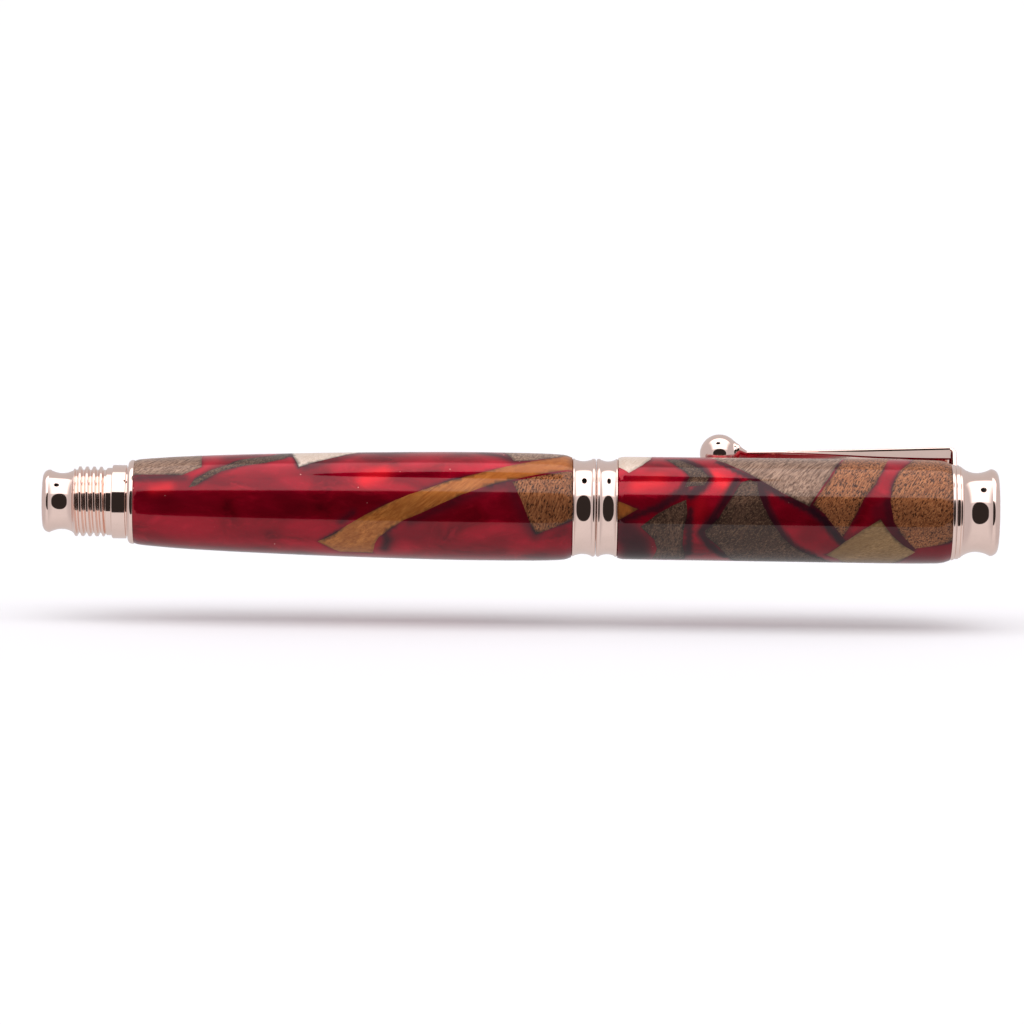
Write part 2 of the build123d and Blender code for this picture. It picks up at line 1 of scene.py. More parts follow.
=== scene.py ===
"""Looks of a capped rollerball pen: turned rose-gold fittings and two barrels of wood chips cast in red resin.

The pen lies along +X with its rear end at the origin, +Z up. Outlines are written in millimetres, as
(x, radius) for turned pieces and as (x, angle) for what lies on a barrel. Angles round the pen are measured
from the front (-Y) upwards: 0 is the front, 90 the top, 180 the back and -90 the underside.
"""

import json
import math

import bmesh
import bpy
import numpy as np
from mathutils import Matrix, Vector, noise
from mathutils.geometry import delaunay_2d_cdt


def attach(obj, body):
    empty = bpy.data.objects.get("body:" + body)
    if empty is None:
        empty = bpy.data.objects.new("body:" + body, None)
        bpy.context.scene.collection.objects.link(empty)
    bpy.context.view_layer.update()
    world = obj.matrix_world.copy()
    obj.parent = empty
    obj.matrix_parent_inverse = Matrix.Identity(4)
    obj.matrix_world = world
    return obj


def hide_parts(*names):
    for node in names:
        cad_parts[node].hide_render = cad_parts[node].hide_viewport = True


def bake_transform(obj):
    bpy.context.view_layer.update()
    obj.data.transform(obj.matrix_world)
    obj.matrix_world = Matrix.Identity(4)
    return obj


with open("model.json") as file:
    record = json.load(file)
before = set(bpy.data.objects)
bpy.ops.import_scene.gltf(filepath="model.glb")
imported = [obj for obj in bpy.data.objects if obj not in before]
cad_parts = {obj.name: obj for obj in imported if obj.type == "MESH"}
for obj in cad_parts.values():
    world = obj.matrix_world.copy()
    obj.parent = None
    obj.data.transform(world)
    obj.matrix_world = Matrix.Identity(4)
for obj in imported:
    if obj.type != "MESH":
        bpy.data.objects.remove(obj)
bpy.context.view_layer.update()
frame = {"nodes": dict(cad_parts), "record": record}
MM = 0.001
SIDES = 192  # segments round a turned piece
SHARP = 28  # degrees from which an edge stays crisp
SHARP_ON_THREAD = 60  # the same on a threaded piece, whose flanks are made of small steps


# ---- outlines ------------------------------------------------------------------------------------
def arc(start, middle, end, steps=10):
    """Points on the arc through three points, without its start."""
    (ax, ay), (bx, by), (cx, cy) = start, middle, end
    d = 2 * (ax * (by - cy) + bx * (cy - ay) + cx * (ay - by))
    a2, b2, c2 = ax * ax + ay * ay, bx * bx + by * by, cx * cx + cy * cy
    ux = (a2 * (by - cy) + b2 * (cy - ay) + c2 * (ay - by)) / d
    uy = (a2 * (cx - bx) + b2 * (ax - cx) + c2 * (bx - ax)) / d
    radius = math.hypot(ax - ux, ay - uy)
    first = math.atan2(ay - uy, ax - ux)
    turn = lambda x, y: (math.atan2(y - uy, x - ux) - first) % math.tau
    sweep = turn(cx, cy)
    if turn(bx, by) > sweep:
        sweep -= math.tau
    angles = [first + sweep * k / steps for k in range(1, steps + 1)]
    return [(ux + radius * math.cos(a), uy + radius * math.sin(a)) for a in angles]


def curve(points, steps=8):
    """Points on a smooth curve through the given ones, without its start."""
    ends = [points[0]] + list(points) + [points[-1]]
    line = []
    for p0, p1, p2, p3 in zip(ends, ends[1:], ends[2:], ends[3:]):
        for k in range(1, steps + 1):
            t = k / steps
            line.append(tuple(
                0.5 * (2 * b + (c - a) * t + (2 * a - 5 * b + 4 * c - d) * t * t
                       + (3 * b - a - 3 * c + d) * t ** 3)
                for a, b, c, d in zip(p0, p1, p2, p3)))
    return line


def smooth_radius(outline):
    """A function giving the radius at x on a smooth curve through an outline's (x, radius) points.

    The curve never swells past its points: each slope is the harmonic mean of its two neighbours' slopes."""
    xs, rs = np.array(outline, float).T
    steps = np.diff(rs) / np.diff(xs)
    slopes = np.concatenate([steps[:1], np.zeros(len(xs) - 2), steps[-1:]])
    same_way = steps[:-1] * steps[1:] > 0
    slopes[1:-1][same_way] = (2 * steps[:-1] * steps[1:] / (steps[:-1] + steps[1:] + 1e-12))[same_way]

    def radius(x):
        x = np.clip(x, xs[0], xs[-1])
        k = np.clip(np.searchsorted(xs, x) - 1, 0, len(xs) - 2)
        h = xs[k + 1] - xs[k]
        t = (x - xs[k]) / h
        return ((1 + 2 * t) * (1 - t) ** 2 * rs[k] + t * (1 - t) ** 2 * h * slopes[k]
                + t * t * (3 - 2 * t) * rs[k + 1] + t * t * (t - 1) * h * slopes[k + 1])

    return radius


# ---- mesh helpers --------------------------------------------------------------------------------
def new_piece(name, verts, faces, material, body=None, replaced=(), sharp=SHARP):
    """A piece from points in millimetres, in its slot and, if they are given, on its body and for its CAD nodes."""
    mesh = bpy.data.meshes.new(name)
    mesh.from_pydata([Vector(v) * MM for v in verts], [], faces)
    mesh.validate()
    piece = bpy.data.objects.new(name, mesh)
    bpy.context.scene.collection.objects.link(piece)
    mesh.materials.append(material)
    mesh.shade_smooth()
    if sharp:
        mesh.set_sharp_from_angle(angle=math.radians(sharp))
    if body:
        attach(piece, body)
    if replaced:
        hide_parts(*replaced)
    return piece


def turned(name, outline, material, body, replaced, radius=None):
    """A piece turned about the pen's axis from a closed outline of (x, radius) points, seen clockwise.

    radius gives the radius at (x, turned radius, angle) where the piece isn't round, as on a thread."""
    rows = len(outline)
    verts = []
    for x, r in outline:
        for k in range(SIDES):
            a = math.tau * k / SIDES
            rr = radius(x, r, a) if radius else r
            verts.append((x, -rr * math.cos(a), rr * math.sin(a)))
    faces = []
    for i in range(rows):
        j = (i + 1) % rows
        if outline[i][1] == 0 and outline[j][1] == 0:
            continue
        for k in range(SIDES):
            n = (k + 1) % SIDES
            if outline[i][1] == 0:
                faces.append((i * SIDES, j * SIDES + k, j * SIDES + n))
            elif outline[j][1] == 0:
                faces.append((i * SIDES + k, j * SIDES, i * SIDES + n))
            else:
                faces.append((i * SIDES + k, j * SIDES + k, j * SIDES + n, i * SIDES + n))
    used = sorted({v for f in faces for v in f})
    index = {v: i for i, v in enumerate(used)}
    faces = [tuple(index[v] for v in f) for f in faces]
    return new_piece(name, [verts[v] for v in used], faces, material, body, replaced,
                     SHARP_ON_THREAD if radius else SHARP)


# ---- node helpers --------------------------------------------------------------------------------
class Nodes:
    """Short ways to add nodes to a tree and join them."""

    def __init__(self, tree):
        self.tree = tree

    def node(self, kind, **inputs):
        """A new node with its settings and inputs, by name and with underscores for spaces."""
        node = self.tree.nodes.new("ShaderNode" + kind)
        for key, value in inputs.items():
            if hasattr(node, key) and not isinstance(value, bpy.types.NodeSocket):
                setattr(node, key, value)
            else:
                self.put(node.inputs[key.replace("_", " ")], value)
        return node

    def put(self, socket, value):
        """Sets an input, or feeds it from another node's output."""
        if isinstance(value, bpy.types.NodeSocket):
            self.tree.links.new(value, socket)
        elif socket.type == "RGBA" and len(value) == 3:
            socket.default_value = (*value, 1)
        else:
            socket.default_value = value

    def ramp(self, value, *stops):
        """A colour ramp through (place, colour or grey) stops."""
        node = self.node("ValToRGB", Fac=value)
        elements = node.color_ramp.elements
        while len(elements) < len(stops):
            elements.new(0.5)
        for element, (place, colour) in zip(elements, stops):
            element.position = place
            element.color = (*colour, 1) if isinstance(colour, tuple) else (colour, colour, colour, 1)
        return node.outputs["Color"]

    def mix(self, factor, a, b):
        node = self.tree.nodes.new("ShaderNodeMix")
        node.data_type = "RGBA"
        for socket, value in zip((node.inputs[0], node.inputs[6], node.inputs[7]), (factor, a, b)):
            self.put(socket, value)
        return node.outputs[2]

    def math(self, operation, a, b=0.0):
        node = self.tree.nodes.new("ShaderNodeMath")
        node.operation = operation
        self.put(node.inputs[0], a)
        self.put(node.inputs[1], b)
        return node.outputs[0]


class Shader(Nodes):
    """A new node material."""

    def __init__(self, name):
        self.material = bpy.data.materials.new(name)
        self.material.use_nodes = True
        super().__init__(self.material.node_tree)
        self.out = self.tree.nodes["Principled BSDF"]

    def set(self, **inputs):
        """Sets or feeds inputs of the surface itself."""
        for key, value in inputs.items():
            self.put(self.out.inputs[key.replace("_", " ")], value)

    def place(self, scale=(1, 1, 1), turn=(0, 0, 0), vector=None):
        """Coordinates in millimetres on the piece, stretched and turned."""
        vector = vector or self.node("TexCoord").outputs["Object"]
        mapping = self.node("Mapping", Vector=vector)
        mapping.inputs["Scale"].default_value = [s / MM for s in scale]
        mapping.inputs["Rotation"].default_value = [math.radians(a) for a in turn]
        return mapping.outputs["Vector"]

    def noise(self, vector, scale, detail=4, roughness=0.55, distortion=0.0):
        node = self.node("TexNoise", Vector=vector, Scale=scale, Detail=detail, Roughness=roughness,
                         Distortion=distortion)
        return node.outputs["Fac"]

    def attribute(self, name, output="Fac"):
        return self.node("Attribute", attribute_name=name).outputs[output]

    def bump(self, height, distance, strength=1.0):
        """A bump whose full height is a distance in millimetres."""
        node = self.node("Bump", Height=height, Distance=distance * MM, Strength=strength)
        return node.outputs["Normal"]


# ---- metals and plastics -------------------------------------------------------------------------
def plated(name, colour, roughness, scratch=0.0006):
    """Polished plating: faint turning marks, small scratches and a slightly uneven polish."""
    s = Shader(name)
    turning = s.noise(s.place((1, 0.02, 0.02)), 9.0, detail=3)
    wear = s.noise(s.place(), 0.45, detail=5)
    marks = s.noise(s.place((0.5, 2.5, 2.5), (20, 35, 10)), 6.0, detail=6, roughness=0.7)
    s.set(Base_Color=s.mix(s.ramp(wear, (0.35, 0.0), (0.75, 0.35)), colour, tuple(c * 0.86 for c in colour)))
    s.set(Metallic=1.0, Roughness=s.ramp(wear, (0.3, roughness), (0.7, roughness + 0.05)))
    s.set(Normal=s.bump(s.math("ADD", turning, s.math("MULTIPLY", marks, 0.5)), scratch, 0.5))
    return s.material


def moulded(name, colour, roughness, grain=0.004):
    """Moulded plastic with a fine sparked grain."""
    s = Shader(name)
    fine = s.noise(s.place(), 9.0, detail=6, roughness=0.65)
    broad = s.noise(s.place(), 0.5)
    s.set(Base_Color=s.mix(broad, colour, tuple(min(1.0, c * 1.5 + 0.004) for c in colour)))
    s.set(Roughness=s.ramp(broad, (0.3, roughness - 0.05), (0.7, roughness + 0.08)))
    s.set(Normal=s.bump(fine, grain, 0.6))
    return s.material


def fibre(name, colour):
    """An ink-soaked rod of fibres that run along it."""
    s = Shader(name)
    strands = s.noise(s.place((0.05, 1, 1)), 5.0, detail=6)
    s.set(Base_Color=s.mix(strands, colour, tuple(c * 3 for c in colour)), Roughness=0.9)
    s.set(Normal=s.bump(strands, 0.05))
    return s.material


# ---- resin and wood ------------------------------------------------------------------------------
WOOD_SHEEN = 0.35  # how far wood under gloss mirrors the light in its own colour


def clear_gloss(s):
    """The polished finish over resin and wood alike, with the faint swirls that polishing leaves."""
    swirls = s.noise(s.place((1, 1.6, 1.6), (15, 0, 30)), 1.2, detail=7, roughness=0.6)
    s.set(Coat_Normal=s.bump(swirls, 0.0012, 0.4), Coat_Weight=0.62, Coat_Roughness=0.015, Coat_IOR=1.5)


def red_resin():
    """Deep red resin with mica in it, which mirrors the light in red and is stirred into soft clouds."""
    s = Shader("red_resin")
    base = s.place((0.6, 1.0, 1.0))
    stirred = s.node("VectorMath", operation="MULTIPLY_ADD")
    s.put(stirred.inputs[0], s.node("TexNoise", Vector=base, Scale=0.11, Detail=2.0).outputs["Color"])
    s.put(stirred.inputs[1], (6.0, 6.0, 6.0))
    s.put(stirred.inputs[2], base)
    clouds = s.noise(stirred.outputs[0], 0.20, detail=4, roughness=0.5, distortion=0.5)
    veins = s.noise(stirred.outputs[0], 0.55, detail=5, roughness=0.55, distortion=1.2)
    depths = s.noise(base, 0.13, detail=2)
    red = s.ramp(clouds, (0.32, (0.17, 0.0, 0.008)), (0.46, (0.33, 0.0008, 0.013)), (0.58, (0.42, 0.0012, 0.018)),
                 (0.72, (0.55, 0.004, 0.026)))
    red = s.mix(s.ramp(veins, (0.54, 0.0), (0.74, 0.35)), red, (0.66, 0.010, 0.035))
    red = s.mix(s.ramp(depths, (0.50, 0.0), (0.68, 0.7)), red, (0.17, 0.0, 0.009))
    # painted light: a brighter red painted where light from overhead scatters in the deep resin
    red = s.mix(s.attribute("painted_light"), red, (0.95, 0.012, 0.022))
    sunk = s.mix(s.noise(base, 0.9), (0.014, 0.004, 0.008), (0.050, 0.010, 0.018))
    red = s.mix(s.attribute("shade"), red, sunk)
    # pale pink specks painted into the resin's colour: partly dust, partly painted glints of mica
    specks = s.node("TexVoronoi", Vector=s.place(), Scale=0.62, Randomness=1.0).outputs["Distance"]
    chosen = s.ramp(s.noise(s.place(), 0.9, detail=1), (0.56, 0.0), (0.60, 1.0))
    dust_and_glint = s.math("MULTIPLY", s.ramp(specks, (0.035, 1.0), (0.07, 0.0)), chosen)
    red = s.mix(dust_and_glint, red, (1.0, 0.45, 0.40))
    s.set(Base_Color=red, Metallic=s.math("SUBTRACT", 0.5, s.math("MULTIPLY", s.attribute("shade"), 0.35)))
    s.set(Roughness=s.ramp(veins, (0.35, 0.15), (0.7, 0.24)), Specular_IOR_Level=0.0)
    clear_gloss(s)
    return s.material


def wood(name, pale, dark, pore, grain=5.0, stretch=0.10, figure=0.5, pores=0.6, pore_size=2.6,
         pore_stretch=0.30, bands=0.0):
    """Wood under gloss: fibres, growth bands and pores along each chip's own grain, darker at the chip's rim."""
    s = Shader(name)
    along = s.attribute("grain", "Vector")
    fibres = s.noise(s.place((stretch, 1, 1), vector=along), grain, detail=6, roughness=0.7)
    broad = s.noise(s.place((0.25, 1, 1), vector=along), 0.45, detail=4, distortion=0.6)
    colour = s.mix(s.ramp(fibres, (0.38, 0.0), (0.60, 1.0)), dark, pale)
    colour = s.mix(s.math("MULTIPLY", s.ramp(broad, (0.40, 0.0), (0.62, 1.0)), figure), colour,
                   tuple(0.65 * d + 0.2 * p for d, p in zip(dark, pale)))
    if bands:
        rings = s.node("TexWave", Vector=s.place((0.02, 1, 0.3), vector=along), Scale=bands, Distortion=2.5,
                       Detail=3.0, Detail_Scale=0.6)
        colour = s.mix(s.ramp(rings.outputs["Fac"], (0.45, 0.0), (0.9, 0.75)), colour, dark)
    cells = s.noise(s.place((pore_stretch, 1, 1), vector=along), pore_size, detail=3, roughness=0.6)
    holes = s.ramp(cells, (0.53, 0.0), (0.60, pores))
    colour = s.mix(holes, colour, pore)
    colour = s.mix(s.math("MULTIPLY", s.attribute("tone"), 0.3), colour, tuple(0.75 * c for c in dark))
    colour = s.mix(s.attribute("rim"), colour, (0.02, 0.010, 0.010))
    shine = s.math("MULTIPLY", s.math("SUBTRACT", 1.0, s.attribute("rim")), WOOD_SHEEN)
    s.set(Base_Color=colour, Metallic=shine, Roughness=s.ramp(fibres, (0.3, 0.42), (0.7, 0.30)))
    s.set(Specular_IOR_Level=0.0, Normal=s.bump(s.math("SUBTRACT", fibres, holes), 0.05, 0.6))
    clear_gloss(s)
    return s.material


materials = {
    "rose_gold": plated("rose_gold", (0.92, 0.70, 0.62), 0.03),
    "raw_brass": plated("raw_brass", (0.80, 0.60, 0.30), 0.22, 0.004),
    "steel": plated("steel", (0.72, 0.72, 0.74), 0.16),
    "black_plastic": moulded("black_plastic", (0.018, 0.018, 0.02), 0.32),
    "refill_plastic": moulded("refill_plastic", (0.05, 0.05, 0.06), 0.25, 0.001),
    "ink_fibre": fibre("ink_fibre", (0.01, 0.01, 0.04)),
    "red_resin": red_resin(),
    "walnut": wood("walnut", (0.60, 0.38, 0.27), (0.16, 0.080, 0.050), (0.07, 0.033, 0.022), grain=4.2,
                   stretch=0.07, figure=0.35, pores=0.5, pore_size=4.2, pore_stretch=0.22),
    "maple": wood("maple", (0.95, 0.79, 0.68), (0.78, 0.60, 0.47), (0.60, 0.42, 0.30), pores=0.2, figure=0.3),
    "olive_wood": wood("olive_wood", (0.78, 0.29, 0.070), (0.44, 0.125, 0.026), (0.14, 0.032, 0.008),
                       grain=2.0, stretch=0.04, figure=0.6, pores=0.12, bands=0.4),
    "mahogany": wood("mahogany", (0.60, 0.235, 0.095), (0.20, 0.058, 0.021), (0.028, 0.008, 0.005), grain=4.6,
                     stretch=0.12, figure=0.35, pores=0.95, pore_size=5.2, pore_stretch=0.34),
    "dark_burl": wood("dark_burl", (0.20, 0.105, 0.068), (0.036, 0.017, 0.014), (0.36, 0.22, 0.13), grain=3.4,
                      stretch=0.3, figure=0.75, pores=0.5, pore_size=5.5, pore_stretch=0.6),
    "sycamore": wood("sycamore", (0.50, 0.30, 0.135), (0.28, 0.155, 0.062), (0.16, 0.085, 0.04), pores=0.25,
                     stretch=0.3, pore_size=4.5, bands=0.25),
}

# ---- cast barrels --------------------------------------------------------------------------------
# A chip is (wood, direction of its grain in the (x, angle) plane, outline). Where chips overlap the first wins.
BARREL_OUTLINE = [(13.0, 5.86), (13.15, 5.98), (16.6, 6.34), (20.0, 6.58), (30.0, 7.02), (45.0, 7.46),
                  (62.0, 7.71), (70.0, 7.66), (73.9, 7.5), (74.62, 7.38), (75.3, 7.1)]
CAP_OUTLINE = [(81.85, 7.12), (82.7, 7.3), (105.0, 7.38), (122.0, 7.42), (127.4, 7.34), (128.32, 7.22),
               (129.2, 6.9)]
BARREL_FLOOR, BARREL_BORE, BARREL_SEAM = 5.45, 5.15, -85
CAP_FLOOR, CAP_BORE, CAP_SEAM = 6.4, 6.1, -95

BARREL_CHIPS = [
    ("walnut", 35, [(12.5, 45), (17.0, 43), (20.0, 41), (22.7, 54), (22.6, 80), (21.9, 119), (12.5, 108)]),
    ("walnut", 70, [(64.4, 130), (65.3, 92), (67.0, 62), (70.0, 65), (72.5, 72), (75.4, 88), (75.4, 130)]),
    ("walnut", 20, [(22.5, 158), (31.0, 150), (35.5, 176), (33.0, 212), (24.5, 205)]),
    ("maple", 80, [(34.6, 128), (35.2, 95), (35.6, 73), (36.5, 51), (39.2, 61), (42.2, 72), (44.6, 85),
                   (46.0, 100), (47.0, 128)]),
    ("maple", 10, [(44.0, 196), (50.5, 186), (52.0, 226), (46.0, 232)]),
    ("olive_wood", 38, [
        (39.3, -41), (41.5, -30), (43.5, -18), (46.0, -6), (49.0, 6), (52.0, 16), (55.0, 24), (58.0, 33),
        (62.0, 42), (65.0, 50), (68.0, 58), (71.0, 66), (73.3, 75), (74.6, 86), (75.4, 96), (75.4, 52),
        (71.0, 43), (67.5, 36), (64.0, 29), (60.0, 18), (57.0, 8), (54.0, -3), (51.5, -11), (49.5, -22),
        (48.0, -32), (47.4, -42), (47.1, -60), (42.5, -60)]),
    ("olive_wood", 0, [
        (22.0, 236), (30.0, 247), (38.0, 252), (47.0, 251), (55.0, 244), (60.5, 233), (58.0, 231),
        (53.0, 238), (46.5, 243), (38.0, 244), (30.5, 239), (24.0, 228)]),
    ("mahogany", 75, [(66.8, 32), (69.0, 37), (71.2, 41), (75.4, 50), (75.4, -9), (70.3, -25), (69.4, -13),
                      (68.2, 10)]),
    ("mahogany", 60, [(53.5, 150), (61.0, 140), (67.5, 165), (63.0, 205), (56.5, 196)]),
    ("dark_burl", 40, [
        (21.0, 24), (21.8, 35), (23.8, 47), (26.3, 57), (28.4, 69), (32.5, 77), (34.2, 92), (34.4, 108),
        (35.0, 92), (35.2, 78), (34.2, 67), (31.5, 59), (28.2, 54), (25.6, 46), (23.6, 36), (22.0, 26)]),
    ("dark_burl", 0, [(62.0, 226), (70.0, 218), (73.0, 250), (66.5, 266), (63.5, 248)]),
]
CAP_CHIPS = [
    ("walnut", 55, [(94.0, 95), (96.0, 74), (98.2, 60), (101.6, 41), (105.0, 24), (108.8, 9), (110.2, 26),
                    (111.8, 46), (113.4, 76), (114.0, 96), (113.8, 103), (94.4, 103)]),
    ("walnut", 20, [(110.0, 166), (119.0, 158), (124.5, 186), (118.0, 214), (111.5, 200)]),
    ("mahogany", 62, [(109.3, 11), (111.0, 1), (112.3, -12), (113.6, -25), (114.6, -12), (116.6, 19),
                      (118.2, 36), (119.3, 55), (120.1, 78), (120.5, 96), (120.4, 103), (114.2, 103),
                      (114.3, 96), (113.7, 76), (112.1, 46), (110.5, 26)]),
    ("mahogany", 60, [(124.2, 96), (123.3, 74), (121.6, 54), (120.6, 34), (120.3, 16), (120.8, -6),
                      (121.9, -21), (124.0, -40), (126.0, -37), (129.3, -31), (129.3, 103), (124.5, 103)]),
    ("mahogany", 30, [(94.0, 160), (102.0, 150), (107.5, 172), (103.0, 198), (96.5, 192)]),
    ("maple", 60, [(81.7, 60), (83.3, 48), (85.2, 61), (86.4, 76), (86.8, 98), (85.8, 122), (81.7, 122)]),
    ("maple", 20, [(84.0, 168), (89.5, 158), (91.5, 184), (86.5, 196)]),
    ("olive_wood", 80, [(81.7, 13), (84.6, 4), (81.7, -10)]),
    ("olive_wood", 5, [(86.0, 212), (92.0, 222), (100.0, 228), (108.0, 226), (110.0, 220), (100.0, 219),
                       (93.0, 213), (88.0, 204)]),
    ("dark_burl", 80, [
        (85.0, -16), (87.2, -2), (89.4, 8), (91.4, 15), (91.6, 0), (91.1, -20), (91.0, -40), (91.4, -56),
        (91.4, -72), (86.8, -72), (87.4, -46), (87.0, -32)]),
    ("dark_burl", 50, [
        (99.2, 36), (98.0, 20), (97.0, 8), (96.0, -5), (95.0, -13), (94.1, -20), (94.3, -27), (95.3, -34),
        (96.2, -42), (97.0, -52), (98.0, -68), (98.8, -78), (112.6, -78), (110.6, -60), (108.4, -50),
        (106.5, -38), (105.0, -25), (104.0, -13), (103.1, -2), (102.3, 10), (101.7, 22), (101.5, 36),
        (100.4, 40)]),
    ("dark_burl", 60, [(91.9, 43), (91.0, 53), (89.8, 62), (88.6, 76), (90.2, 77), (91.6, 67), (93.4, 56),
                       (94.7, 43), (94.0, 32), (91.2, 30)]),
    ("dark_burl", 10, [(112.5, 232), (122.0, 226), (126.0, 244), (119.0, 258)]),
    ("sycamore", 25, [
        (118.9, -4), (120.6, -22), (122.4, -36), (124.0, -46), (122.6, -58), (121.4, -75), (121.0, -92),
        (115.0, -92), (113.2, -63), (111.4, -53), (114.0, -31), (116.5, -16)]),
]

# Where wood lies just under the surface the resin is dark; where it is deep and lit from overhead, painted light
# makes it
# a brighter red: (how much, half width in mm, line).
BARREL_SHADES = [
    (0.9, 1.0, [(62.5, 84), (65.0, 74), (67.0, 63), (69.0, 66)]),
    (0.75, 0.9, [(52.5, -12), (56.0, 0), (60.0, 14), (64.0, 25), (67.0, 31)]),
    (0.9, 1.0, [(48.6, -24), (49.2, -36), (48.8, -50)]),
    (0.8, 0.7, [(44.3, -4), (42.6, -14)]),
    (0.6, 0.6, [(37.2, 49), (40.2, 59), (43.2, 70), (45.4, 84)]),
    (0.75, 1.1, [(45.5, 90), (48.5, 82), (52.0, 90)]),
    (0.7, 0.6, [(13.4, 38), (17.0, 39), (20.4, 37)]),
    (0.8, 0.8, [(22.2, 32), (24.4, 46), (27.2, 58), (30.5, 68), (33.5, 80)]),
    (0.6, 1.1, [(26.5, 72), (30.5, 82)]),
    (0.55, 1.0, [(66.4, 26), (67.8, 6), (69.2, -16), (70.2, -26)]),
]
BARREL_PAINTED_LIGHT = [(0.7, 1.3, [(46.0, 34), (48.5, 42)]), (0.5, 1.0, [(16.0, 20), (18.0, 24)])]
CAP_SHADES = [
    (0.85, 2.3, [(83.2, -24), (84.3, -38), (84.6, -62)]),
    (0.9, 0.6, [(82.0, -9), (84.5, -3), (87.0, 5)]),
    (0.9, 0.8, [(87.4, 4), (89.5, 16), (91.0, 26), (91.8, 38)]),
    (0.9, 0.6, [(92.0, 4), (91.9, -24), (91.9, -56)]),
    (0.95, 0.9, [(92.0, 20), (93.6, 30), (94.6, 42), (93.4, 56), (91.0, 74)]),
    (0.95, 0.8, [(98.6, 38), (97.2, 18), (95.6, -2), (93.6, -22), (95.0, -40), (97.2, -60)]),
    (0.95, 0.9, [(101.8, 36), (102.6, 8), (104.4, -18), (106.6, -40), (109.4, -56)]),
    (0.95, 0.6, [(96.0, 70), (98.4, 54), (102.0, 36), (105.4, 18), (108.8, 5)]),
    (1.0, 0.8, [(109.0, 6), (111.0, -6), (112.8, -24), (113.6, -32)]),
    (0.85, 0.9, [(120.0, 14), (120.2, -6), (121.4, -24), (123.4, -40)]),
    (0.6, 1.6, [(119.0, 4), (119.8, 8)]),
]
CAP_PAINTED_LIGHT = [(0.8, 1.1, [(95.4, 44), (97.0, 34)]), (0.6, 1.3, [(84.5, 32), (87.5, 38)]),
             (0.45, 1.2, [(93.5, 10), (93.0, 0)])]

ARC_MM = math.radians(7.4)  # a degree round a barrel, in millimetres
POINT_GAP = 0.5  # mesh spacing on a barrel
CHIP_CLEARANCE = 0.45  # no mesh point lies closer to a chip's edge, in gaps
SHADE_EDGE = {"barrel": 2, "cap": 5}  # how firmly a dark margin ends
# how firmly a patch of painted light ends
PAINTED_LIGHT_EDGE = 2
RIM_IN_WOOD, RIM_IN_RESIN = 0.15, 0.3  # how far a chip's dark rim reaches on either side of its edge
RIM_PATCHES = 0.35  # patches a millimetre in which the rims are weaker or stronger
GRAIN_STEP = 7.0  # millimetres of the wood's pattern between one chip and the next
PIECE_WORDS = {"olive_wood": "olive", "dark_burl": "dark"}  # where a piece's name says less than its wood's
noise.seed_set(1)  # or else the clock seeds noise_vector, and no two runs give the same barrels


def around_pen(x, degrees, radius):
    """The point at a station, an angle round the pen and a radius."""
    angle = math.radians(degrees)
    return x, -radius * math.cos(angle), radius * math.sin(angle)


def split_outline(points, length=0.4, wobble=0.035):
    """An outline with more points, so that it follows the barrel, and the slight unevenness of a sawn edge."""
    fine = []
    for (x0, a0), (x1, a1) in zip(points, points[1:] + points[:1]):
        parts = max(1, math.ceil(math.hypot(x1 - x0, (a1 - a0) * ARC_MM) / length))
        for k in range(parts):
            x, a = x0 + (x1 - x0) * k / parts, a0 + (a1 - a0) * k / parts
            shift = noise.noise_vector((x * 1.3, a * ARC_MM * 1.3, 0.0)) * wobble
            fine.append((x + shift.x, a + shift.y / ARC_MM))
    return fine


def clipped(points, low, high):
    """The part of an outline between two stations."""
    for limit, side in ((low, 1), (high, -1)):
        kept = []
        for (x0, a0), (x1, a1) in zip(points, points[1:] + points[:1]):
            inside0, inside1 = (x0 - limit) * side >= 0, (x1 - limit) * side >= 0
            if inside0:
                kept.append((x0, a0))
            if inside0 != inside1:
                t = (limit - x0) / (x1 - x0)
                kept.append((limit, a0 + (a1 - a0) * t))
        points = kept
    return points


def distance(points, line, closed=False):
    """Each point's distance in millimetres from a line of (x, angle) points on the barrel."""
    line = list(line) + ([line[0]] if closed else [])
    best = np.full(len(points), 1e9)
    scale = np.array([1.0, ARC_MM])
    p = points * scale
    for a, b in zip(line, line[1:]):
        a, b = np.array(a) * scale, np.array(b) * scale
        t = np.clip(((p - a) @ (b - a)) / max((b - a) @ (b - a), 1e-9), 0, 1)
        best = np.minimum(best, np.linalg.norm(p - a - t[:, None] * (b - a), axis=1))
    return best


